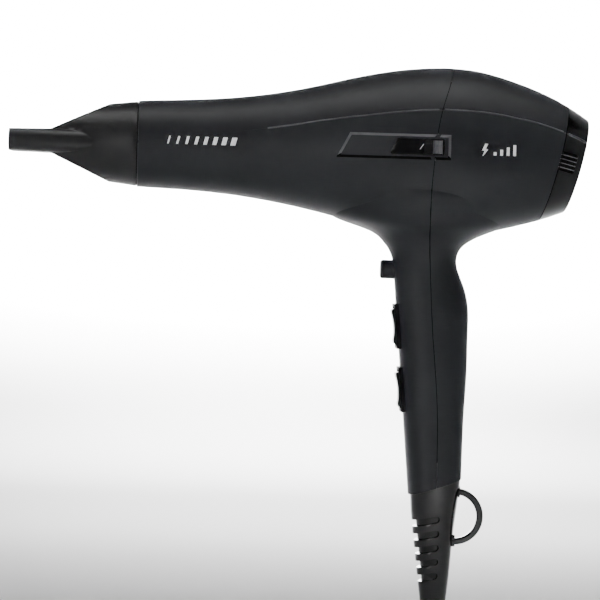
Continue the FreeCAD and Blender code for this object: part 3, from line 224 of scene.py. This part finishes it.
def soft_touch():
    """Soft-touch lacquer: a dull black with a fine even grain."""
    finish = Finish("soft_touch_black", (0.0086, 0.0096, 0.0132), 0.48, Specular_IOR_Level=0.42)
    return finish.mottle(0.03, 0.1).smudge(0.02, 0.03).grain(0.00035, 0.00001, 0.5).material


def gloss_black():
    """Polished piano-black plastic with faint wiping marks."""
    finish = Finish("gloss_black", (0.0022, 0.0022, 0.0027), 0.15, Specular_IOR_Level=0.4)
    return finish.smudge(0.006, 0.03, stretch=(1, 1, 3)).grain(0.009, 0.00001, 0.3).material


def tinted_window():
    """The clear tinted window: nearly black, smooth and weakly reflecting."""
    finish = Finish("tinted_window", (0.0025, 0.0025, 0.003), 0.14, Specular_IOR_Level=0.22)
    return finish.smudge(0.008, 0.02).material


def satin_black():
    """Heat-proof satin plastic of the nozzle, a little grainy from the mould."""
    finish = Finish("satin_black", (0.0075, 0.0076, 0.0088), 0.4, Specular_IOR_Level=0.5)
    return finish.mottle(0.02, 0.12).smudge(0.012, 0.05).grain(0.00055, 0.00003, 0.6).material


def rubber_black():
    """Smooth rubber of the cord sleeve and the loop."""
    finish = Finish("rubber_black", (0.006, 0.006, 0.0068), 0.16, Specular_IOR_Level=0.55)
    return finish.smudge(0.008, 0.06).grain(0.0012, 0.00002, 0.4).material


def dead_black():
    """The unlit depth of narrow slots."""
    finish = Finish("dead_black", (0.002, 0.002, 0.002), 0.8, Specular_IOR_Level=0.1)
    return finish.mottle(0.002, 0.2).material


def dull_black():
    """Unpolished plastic of the switch bezels."""
    finish = Finish("dull_black", (0.004, 0.004, 0.0045), 0.6, Specular_IOR_Level=0.12)
    return finish.smudge(0.004, 0.08).grain(0.0005, 0.00002, 0.5).material


def painted_highlight_black(name, colour):
    """Black lightened to grey: a painted highlight for the edges and ridges that catch the light."""
    finish = Finish(name, colour, 0.34, Specular_IOR_Level=0.5)
    return finish.mottle(0.008, 0.15).smudge(0.006, 0.05).grain(0.00035, 0.00001, 0.3).material


def plain_plastic(name, colour, roughness):
    """Moulded plastic of inner parts."""
    finish = Finish(name, colour, roughness, Specular_IOR_Level=0.45)
    return finish.mottle(0.01, 0.08).smudge(0.006, 0.06).grain(0.0006, 0.00002, 0.5).material


def metal(name, colour, roughness, stretch=(1, 1, 1)):
    """Drawn or brushed metal."""
    finish = Finish(name, colour, roughness, Metallic=1.0)
    finish.mottle(0.004, 0.08, stretch=stretch)
    finish.smudge(0.002, 0.08, stretch=stretch)
    return finish.grain(0.0004, 0.00001, 0.4, stretch=stretch).material


def mica():
    """Mica board: flaky, pearly, with thin layers."""
    finish = Finish("mica", (0.48, 0.4, 0.28), 0.4, Specular_IOR_Level=0.6)
    return finish.mottle(0.003, 0.3, detail=6).smudge(0.002, 0.12).grain(0.0015, 0.00004, 0.6).material


def make_materials():
    """One finished material for each of the record's slots."""
    return {
        "soft_black": soft_touch(),
        "gloss_black": gloss_black(),
        "nozzle_black": satin_black(),
        "rubber_black": rubber_black(),
        "inner_plastic": plain_plastic("inner_plastic", (0.012, 0.012, 0.012), 0.5),
        "white_plastic": plain_plastic("white_plastic", (0.62, 0.6, 0.55), 0.45),
        "mica": mica(),
        "steel": metal("steel", (0.5, 0.5, 0.51), 0.3),
        "aluminium": metal("aluminium", (0.7, 0.7, 0.71), 0.32),
        "copper": metal("copper", (0.6, 0.27, 0.13), 0.3, stretch=(1, 12, 12)),
        "lamination": metal("lamination", (0.13, 0.13, 0.14), 0.45, stretch=(14, 1, 1)),
    }


MATERIALS = make_materials()
# Painted light: two lighter blacks paint the highlights of rounded edges; SHADOW paints shade.
EDGE = painted_highlight_black("painted_highlight_black", (0.03, 0.031, 0.035))
BRIGHT_EDGE = painted_highlight_black("bright_edge", (0.09, 0.092, 0.1))
SHADOW = dead_black()


def soften(width, angle, *names):
    """Rounds the edges of CAD nodes that are sharper than an angle, by a width in millimetres."""
    for name in names:
        weld = NODES[name].modifiers.new("weld", "WELD")
        weld.merge_threshold = 0.002 * MM
        bevel = NODES[name].modifiers.new("soft_edges", "BEVEL")
        bevel.width = width * MM
        bevel.segments = 2
        bevel.limit_method = "ANGLE"
        bevel.angle_limit = math.radians(angle)
        bevel.harden_normals = True


def dress_nodes():
    """Gives every CAD node its material, and rounds the edges of the small hard parts."""
    slots = {part["node"]: part["material_slot"] for part in frame["record"]["subparts"]}
    bezel = dull_black()
    special = {
        "side_window": tinted_window(),
        # The slider knob's lighter grey is a painted sheen that stands in for its glints.
        "ion_slider": painted_highlight_black("slider_painted_sheen", (0.11, 0.112, 0.12)),
        "upper_switch": bezel,
        "lower_switch": bezel,
    }
    for name, item in NODES.items():
        item.data.materials.clear()
        item.data.materials.append(special.get(name, MATERIALS[slots[name]]))
    soften(0.25, 40, "upper_rocker", "lower_rocker", "upper_switch", "lower_switch", "cool_button")
    soften(0.15, 40, "side_badge", "ion_slider")
    soften(0.07, 40, "side_window")
    soften(0.35, 50, "strain_relief", "nozzle")


dress_nodes()


# ----------------------------------------------------------------------------------------------------------
# Finishing pieces
# ----------------------------------------------------------------------------------------------------------

def skin_of(*names):
    """A search tree over the surfaces of some CAD nodes."""
    points, faces = [], []
    for name in names:
        mesh = NODES[name].data
        first = len(points)
        points += [vertex.co.copy() for vertex in mesh.vertices]
        faces += [[first + i for i in face.vertices] for face in mesh.polygons]
    return BVHTree.FromPolygons(points, faces)


HOUSING_SKIN = skin_of("front_housing", "rear_housing")
WINDOW_SKIN = skin_of("side_window", "front_housing", "rear_housing")
COVER_SKIN = skin_of("rear_cover")


def in_row(station, across, height):
    """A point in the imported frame, from its station, its place across and its height."""
    return Vector((OUTLET_X + station * MM, across * MM, AXIS_Z + height * MM))


def seen_from(skin, side, station, height):
    """What a look from the left (-1) or right (1) side meets first at a station and a height."""
    return skin.ray_cast(in_row(station, side * LOOK_DISTANCE, height), Vector((0, -side, 0)))[0]


def on_side(skin, side, station, height, lift=0.0):
    """The point of a skin's side at a station and a height, lifted off it."""
    hit = seen_from(skin, side, station, height)
    return hit + Vector((0, side * lift * MM, 0))


def finished(name, build, material, body):
    """Makes a piece from a bmesh, with outward faces, and lets it ride on a body."""
    bmesh.ops.recalc_face_normals(build, faces=build.faces)
    mesh = bpy.data.meshes.new(name)
    build.to_mesh(mesh)
    build.free()
    piece = bpy.data.objects.new(name, mesh)
    bpy.context.scene.collection.objects.link(piece)
    mesh.materials.append(material)
    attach(piece, body)
    return piece


def loft(build, sections, closed=False):
    """Skins a row of equal closed sections; open rows get caps."""
    rows = [[build.verts.new(point) for point in section] for section in sections]
    pairs = list(zip(rows, rows[1:]))
    if closed:
        pairs.append((rows[-1], rows[0]))
    for a, b in pairs:
        for i in range(len(a)):
            j = (i + 1) % len(a)
            build.faces.new((a[i], a[j], b[j], b[i]))
    if not closed:
        build.faces.new(rows[0])
        build.faces.new(rows[-1][::-1])


def between(table, place):
    """Reads a table of (place, value) rows at any place."""
    for (left, low), (right, high) in zip(table, table[1:]):
        if left <= place <= right:
            return low + (high - low) * (place - left) / (right - left)
    return table[-1][1]


def along(a, b, step):
    """Points from a towards b, about one step apart, without b."""
    count = max(1, round(math.dist(a, b) / step))
    return [(a[0] + (b[0] - a[0]) * i / count, a[1] + (b[1] - a[1]) * i / count) for i in range(count)]


def make_recess_edges(side, word):
    """The chamfer round a side recess, broken at the parting line: a painted highlight, with painted shade
    along its foot.
    """
    count = len(RECESS)
    corners = [Vector(corner) for corner in RECESS]
    mitres = []
    for i, corner in enumerate(corners):
        before = (corner - corners[i - 1]).normalized()
        after = (corners[(i + 1) % count] - corner).normalized()
        inward = Vector((-before.y - after.y, before.x + after.x)).normalized()
        mitres.append(inward / inward.dot(Vector((-before.y, before.x))))
    path = []
    for i in range(count):
        j = (i + 1) % count
        steps = along(corners[i], corners[j], RECESS_STEP)
        for k, point in enumerate(steps):
            path.append((Vector(point), mitres[i].lerp(mitres[j], k / len(steps))))
    runs, run = [], []
    for point, inward in path:
        gap = abs(point.x - between(PARTING, point.y) - PARTING_MIDDLE) < PARTING_CLEARANCE
        if gap and run:
            runs.append(run)
            run = []
        if not gap:
            top = on_side(HOUSING_SKIN, side, *(point - RECESS_MARGIN * inward), lift=-0.02)
            foot = on_side(HOUSING_SKIN, side, *(point + RECESS_CHAMFER * inward), lift=-0.06)
            root = Vector((top.x, foot.y, top.z))
            edge = Vector((OUTLET_X + point.x * MM, top.y, AXIS_Z + point.y * MM))
            run.append((root, edge, foot))
    first, behind, last = *runs, run
    build = bmesh.new()
    loft(build, last + first)
    loft(build, behind)
    piece = finished(f"recess_edge_{word}", build, BRIGHT_EDGE, "housing")
    piece.data.materials.append(SHADOW)
    # Faces along the foot take SHADOW, a painted shade; the others keep the painted highlight.
    shaded = AXIS_Z + (RECESS[0][1] + RECESS_CHAMFER) * MM
    for face in piece.data.polygons:
        face.material_index = int(face.center.z < shaded)


def circle(count):
    """The (cosine, sine) pairs of evenly spread angles round a circle."""
    angles = [2 * math.pi * i / count for i in range(count)]
    return [(math.cos(angle), math.sin(angle)) for angle in angles]


def bead(build, path, radius, closed=False):
    """A thin round bead along a path of points."""
    sections = []
    count = len(path)
    for i, point in enumerate(path):
        before = path[i - 1] if closed or i else path[0]
        after = path[(i + 1) % count] if closed or i < count - 1 else path[-1]
        turn = (after - before).to_track_quat("Z", "Y")
        sections.append([point + turn @ Vector((radius * MM * c, radius * MM * s, 0)) for c, s in circle(8)])
    loft(build, sections, closed)


def evenly(start, end, count):
    """Equal steps from a start to an end, with both."""
    return [start + (end - start) * i / count for i in range(count + 1)]


def smoothed(points, rounds):
    """A path with its small kinks evened out; its ends stay."""
    for _ in range(rounds):
        inner = [(a + 2 * b + c) / 4 for a, b, c in zip(points, points[1:], points[2:])]
        points = [points[0], *inner, points[-1]]
    return points


def crease_point(skin, side, station):
    """The crease's outer edge at a station: where the side stands out most from one height to the next."""
    middle = between(CREASE, station)
    heights = evenly(middle - CREASE_REACH, middle + CREASE_REACH, 40)
    points = [on_side(skin, side, station, height) for height in heights]
    rises = [side * (lower.y - upper.y) for lower, upper in zip(points, points[1:])]
    return points[rises.index(max(rises))]


def make_crease_edges(side, word):
    """The rounded edge of the crease, on the housings and on the filter cover, lightened as a painted
    highlight.
    """
    inward = Vector((0, -side * 0.35 * MM, -0.1 * MM))
    runs = (("front", HOUSING_SKIN, 66, 152.6, "soft_black", 0.6, "housing"),
            ("rear", HOUSING_SKIN, 155.4, 217.4, "soft_black", 0.6, "housing"),
            ("cover", COVER_SKIN, 220.2, 229.0, "gloss_black", 0.95, "rear_cover"))
    for part, skin, start, end, slot, radius, body in runs:
        stations = evenly(start, end, round((end - start) / CREASE_STEP))
        path = smoothed([crease_point(skin, side, station) for station in stations], 6)
        build = bmesh.new()
        bead(build, [point + inward for point in path], radius)
        finished(f"crease_{part}_{word}", build, BRIGHT_EDGE, body)


def groove_point(side, height):
    """The middle of the parting groove's mouth at a height, if the groove is open there."""
    middle = between(PARTING, height)
    mouth = on_side(HOUSING_SKIN, side, middle - GROOVE_REACH, height).y
    deep = []
    for station in evenly(middle - GROOVE_REACH, middle + GROOVE_REACH, 60):
        hit = seen_from(HOUSING_SKIN, side, station, height)
        if not hit or side * (mouth - hit.y) > GROOVE_DEPTH * MM:
            deep.append(station)
    if not deep:
        return None
    point = in_row(sum(deep) / len(deep), 0, height)
    return Vector((point.x, mouth, point.z))


def make_parting_shadow(side, word):
    """The darkness in the groove between the front and the rear housing."""
    inward = Vector((0, -side * 0.3 * MM, 0))
    build = bmesh.new()
    for low, high in PARTING_RUNS:
        heights = evenly(low, high, max(3, round((high - low) / PARTING_STEP)))
        found = [groove_point(side, height) for height in heights]
        path = [point + inward for point in found if point]
        if len(path) > 2:
            bead(build, smoothed(path, 2), 0.34)
    finished(f"parting_shadow_{word}", build, SHADOW, "housing")


def make_outlet_edge():
    """The rounded rim of the barrel's outlet, lightened as a painted highlight."""
    radius = OUTLET_RADIUS - 0.27
    build = bmesh.new()
    bead(build, [in_row(0.3, radius * c, radius * s) for c, s in circle(96)], 0.32, closed=True)
    finished("outlet_edge", build, EDGE, "housing")


def make_gap_ring():
    """The shadowed step inside the narrow gap between the nozzle and the barrel."""
    profile = ((-0.46, 19.5), (-0.14, 19.5), (-0.14, 21.7), (-0.46, 21.7))
    sections = []
    for c, s in circle(96):
        sections.append([in_row(station, radius * c, radius * s) for station, radius in profile])
    build = bmesh.new()
    loft(build, sections, closed=True)
    finished("nozzle_gap_ring", build, SHADOW, "nozzle")


def make_sleeve_core():
    """The core that shows through the slots of the cord sleeve, hollow for the cord."""
    top, tip = SLOTTED_SLEEVE[0][0], SLOTTED_SLEEVE[-1][0]
    sections = []
    for c, s in circle(48):
        section = []
        for height, front, rear, half in SLOTTED_SLEEVE:
            front, rear = front + SLEEVE_CORE_STEP, rear - SLEEVE_CORE_DEPTH
            station = (front + rear) / 2 + (rear - front) / 2 * c
            section.append(in_row(station, (half - SLEEVE_CORE_DEPTH) * s, height))
        for height in (tip, top):
            section.append(in_row(CORD_STATION + CORD_BORE * c, CORD_BORE * s, height))
        sections.append(section)
    build = bmesh.new()
    loft(build, sections, closed=True)
    finished("sleeve_core", build, MATERIALS["gloss_black"], "housing")


def add_print(build, skin, side, corners, lift=0.05, step=0.7):
    """A thin printed patch between four (station, height) corners, laid on a skin."""
    a, b, c, d = (Vector(corner) for corner in corners)
    wide = max(1, math.ceil(max((b - a).length, (c - d).length) / step))
    tall = max(1, math.ceil(max((d - a).length, (c - b).length) / step))
    layers = []
    for height in (-lift, lift):
        rows = []
        for j in range(tall + 1):
            left, right = a.lerp(d, j / tall), b.lerp(c, j / tall)
            spots = [left.lerp(right, i / wide) for i in range(wide + 1)]
            rows.append([build.verts.new(on_side(skin, side, *spot, lift=height)) for spot in spots])
        layers.append(rows)
    for rows in layers:
        for lower, upper in zip(rows, rows[1:]):
            for i in range(wide):
                build.faces.new((lower[i], lower[i + 1], upper[i + 1], upper[i]))
    rims = [[rows[0], rows[-1], [row[0] for row in rows], [row[-1] for row in rows]] for rows in layers]
    for lower, upper in zip(*rims):
        for i in range(len(lower) - 1):
            build.faces.new((lower[i], lower[i + 1], upper[i + 1], upper[i]))


def slanted_bar(station, low, high, width, slant=0.25):
    """The corners of an upright bar that leans back."""
    lean = slant * (high - low)
    return (station, low), (station + width, low), (station + width + lean, high), (station + lean, high)


def glowing_white_ink():
    """Opaque white print, with a faint emission glow that is painted light."""
    finish = Finish("glowing_white_ink", (0.9, 0.91, 0.92), 0.4, Emission_Color=(1, 1, 1, 1), Emission_Strength=0.3)
    return finish.mottle(0.002, 0.03).material


def make_marks():
    """Plain printed marks: bars by the outlet, a bolt with level bars, and a stroke on the window."""
    ink = glowing_white_ink()
    bolt = (((174.6, 2.0), (176.2, 2.0), (177.6, 5.0), (176.0, 5.0)),
            ((174.3, 1.5), (177.3, 1.5), (177.6, 2.1), (174.6, 2.1)),
            ((174.7, -1.2), (175.2, -1.2), (177.2, 1.5), (175.8, 1.5)))
    flow = [slanted_bar(15 + 4.6 * i, 0.2, 4.2, 0.8 + 0.25 * i) for i in range(8)]
    levels = [slanted_bar(180.5 + 3.4 * i, -0.8, 0.9 + 1.3 * i, 1.5, slant=0) for i in range(4)]
    for side, word in SIDES:
        for name, patches in (("flow_mark", flow), ("power_mark", (*bolt, *levels))):
            build = bmesh.new()
            for corners in patches:
                add_print(build, HOUSING_SKIN, side, corners)
            finished(f"{name}_{word}", build, ink, "housing")
    build = bmesh.new()
    add_print(build, WINDOW_SKIN, -1, slanted_bar(142.7, 1.1, 4.0, 0.3, slant=0.7), lift=0.03)
    finished("window_mark", build, ink, "housing")


def in_cover(depth, across, up):
    """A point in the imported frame, from its place in the filter cover's own frame."""
    turned = Matrix.Rotation(COVER_TILT, 3, "Y") @ Vector((depth, across, up))
    return in_row(COVER_STATION + turned.x, turned.y, COVER_HEIGHT + turned.z)


def grip_strip(middle, half):
    """The (station, height) corners of a strip along the filter cover's grip slots, of half a width."""
    front, rear = GRIP_MARGIN, GRIP_LENGTH - GRIP_MARGIN
    corners = []
    for depth, up in ((front, -half), (rear, -half), (rear, half), (front, half)):
        point = in_cover(depth, 0, middle + up)
        corners.append(((point.x - OUTLET_X) / MM, (point.z - AXIS_Z) / MM))
    return corners


def make_grips(side, word):
    """Painted shade on the filter cover's grip slot floors and painted highlights on the ridges between."""
    lowest = GRIP_MIDDLE - (GRIP_SLOTS - 1) / 2 * GRIP_PITCH
    floor_shade, ridge_highlights = bmesh.new(), bmesh.new()
    for i in range(GRIP_SLOTS):
        add_print(floor_shade, COVER_SKIN, side, grip_strip(lowest + i * GRIP_PITCH, GRIP_FLOOR_HALF))
    for i in range(GRIP_SLOTS - 1):
        add_print(ridge_highlights, COVER_SKIN, side, grip_strip(lowest + (i + 0.5) * GRIP_PITCH, GRIP_RIDGE_HALF))
    finished(f"grip_floor_shade_{word}", floor_shade, SHADOW, "rear_cover")
    finished(f"grip_ridge_highlights_{word}", ridge_highlights, BRIGHT_EDGE, "rear_cover")


def add_wires(build, crosswise):
    """The gauze's wires of one direction, each going over and under those of the other."""
    half = int(GAUZE_RADIUS / GAUZE_PITCH)
    for i in range(-half, half + 1):
        reach = int(math.sqrt(GAUZE_RADIUS ** 2 - (i * GAUZE_PITCH) ** 2) / GAUZE_PITCH)
        sections = []
        for k in range(-reach, reach + 1):
            weave = GAUZE_WIRE if (i + k + crosswise) % 2 else -GAUZE_WIRE
            ring = []
            for u, v in ((-GAUZE_WIRE, 0), (0, -GAUZE_WIRE), (GAUZE_WIRE, 0), (0, GAUZE_WIRE)):
                across, up = i * GAUZE_PITCH + v, k * GAUZE_PITCH
                if crosswise:
                    across, up = up, across
                ring.append(in_cover(GAUZE_DEPTH + weave + u, across, up))
            sections.append(ring)
        if reach:
            loft(build, sections)


def make_filter():
    """The woven filter gauze with its rim, in place of the plain disc."""
    build = bmesh.new()
    for crosswise in (0, 1):
        add_wires(build, crosswise)
    profile = ((-0.34, -0.5), (0.34, -0.5), (0.34, 0.28), (-0.34, 0.28))
    rim = []
    for c, s in circle(72):
        section = [(GAUZE_DEPTH + u, GAUZE_RADIUS + v) for u, v in profile]
        rim.append([in_cover(depth, radius * c, radius * s) for depth, radius in section])
    loft(build, rim, closed=True)
    gauze = finished("filter_gauze", build, MATERIALS["steel"], "rear_cover")
    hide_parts("filter_mesh")


for side, word in SIDES:
    make_recess_edges(side, word)
    make_crease_edges(side, word)
    make_parting_shadow(side, word)
    make_grips(side, word)
make_outlet_edge()
make_gap_ring()
make_sleeve_core()
make_marks()
make_filter()


# ----------------------------------------------------------------------------------------------------------
# Floor, light and camera
# ----------------------------------------------------------------------------------------------------------

def make_floor():
    """A plain pale floor that turns up into a round wall, far behind the object from any side."""
    low = CAD_BOUNDS[0][2] - FLOOR_GAP
    flat = STUDIO_RADIUS - STUDIO_BEND
    profile = [(flat, low)]
    for i in range(1, STUDIO_STEPS + 1):
        angle = math.pi / 2 * i / STUDIO_STEPS
        profile.append((flat + STUDIO_BEND * math.sin(angle), low + STUDIO_BEND * (1 - math.cos(angle))))
    profile.append((STUDIO_RADIUS, low + STUDIO_HEIGHT))
    build = bmesh.new()
    rings = [[build.verts.new((radius * c, radius * s, height)) for c, s in circle(STUDIO_SIDES)]
             for radius, height in profile]
    centre = build.verts.new((0, 0, low))
    for i in range(STUDIO_SIDES):
        j = (i + 1) % STUDIO_SIDES
        build.faces.new((centre, rings[0][i], rings[0][j]))
        for inner, outer in zip(rings, rings[1:]):
            build.faces.new((inner[i], outer[i], outer[j], inner[j]))
    for face in build.faces:
        face.smooth = True
    mesh = bpy.data.meshes.new("studio_floor")
    build.to_mesh(mesh)
    build.free()
    floor = bpy.data.objects.new("studio_floor", mesh)
    bpy.context.scene.collection.objects.link(floor)
    finish = Finish("studio_white", (0.8, 0.8, 0.8), 0.9, Specular_IOR_Level=0.1)
    mesh.materials.append(finish.mottle(0.4, 0.01).material)


def area_light(name, place, target, size, power, spread=180):
    """A soft rectangular light that looks at a target; a small spread, in degrees, narrows its beam."""
    data = bpy.data.lights.new(name, "AREA")
    data.shape = "RECTANGLE"
    data.size, data.size_y = size
    data.energy = power
    data.spread = math.radians(spread)
    lamp = bpy.data.objects.new(name, data)
    bpy.context.scene.collection.objects.link(lamp)
    lamp.location = place
    lamp.rotation_euler = (Vector(target) - Vector(place)).to_track_quat("-Z", "Y").to_euler()


def make_lights():
    """Soft studio light: a big panel overhead, a fill from the front, lamps for the floor and wall."""
    area_light("top", (0.0, -0.1, 1.2), (0, 0, 0.05), (1.3, 0.6), 7.5)
    area_light("front", (-0.85, -1.4, -0.02), (0.02, 0, -0.03), (0.4, 1.0), 6.5)
    area_light("floor_front", (0.05, -0.42, 0.3), (0.05, -0.42, -0.14), (0.1, 0.3), 0.7, spread=70)
    area_light("floor_near", (0, 0.75, 0.5), (0, 0.4, -0.14), (0.6, 0.1), 1.6, spread=44)
    area_light("floor_behind", (0, 1.2, 1.3), (0, 1.586, -0.14), (0.6, 1.7), FLOOR_POWER, spread=40)
    for side, word in SIDES:
        place, target = (side * 0.8, 1.3, 0.6), (side * 0.05, 2.3, 0.15)
        area_light(f"wall_{word}", place, target, (0.3, 0.6), WALL_POWER, spread=55)
    world = bpy.data.worlds.new("studio")
    bpy.context.scene.world = world
    world.use_nodes = True
    background = world.node_tree.nodes["Background"]
    background.inputs["Color"].default_value = (1, 1, 1, 1)
    background.inputs["Strength"].default_value = 0.03


def make_camera():
    """The camera, square to the dryer's side and slightly above and ahead of it."""
    data = bpy.data.cameras.new("camera")
    data.sensor_width = 36
    data.lens = 36 * VIEW_DISTANCE / VIEW_WIDTH
    camera = bpy.data.objects.new("camera", data)
    bpy.context.scene.collection.objects.link(camera)
    back = Vector((math.sin(VIEW_AZIMUTH) * math.cos(VIEW_ELEVATION),
                   -math.cos(VIEW_AZIMUTH) * math.cos(VIEW_ELEVATION), math.sin(VIEW_ELEVATION)))
    camera.location = VIEW_TARGET + back * VIEW_DISTANCE
    turn = back.to_track_quat("Z", "Y").to_matrix()
    camera.rotation_euler = (turn @ Matrix.Rotation(VIEW_ROLL, 3, "Z")).to_euler()
    bpy.context.scene.camera = camera


make_floor()
make_lights()
make_camera()
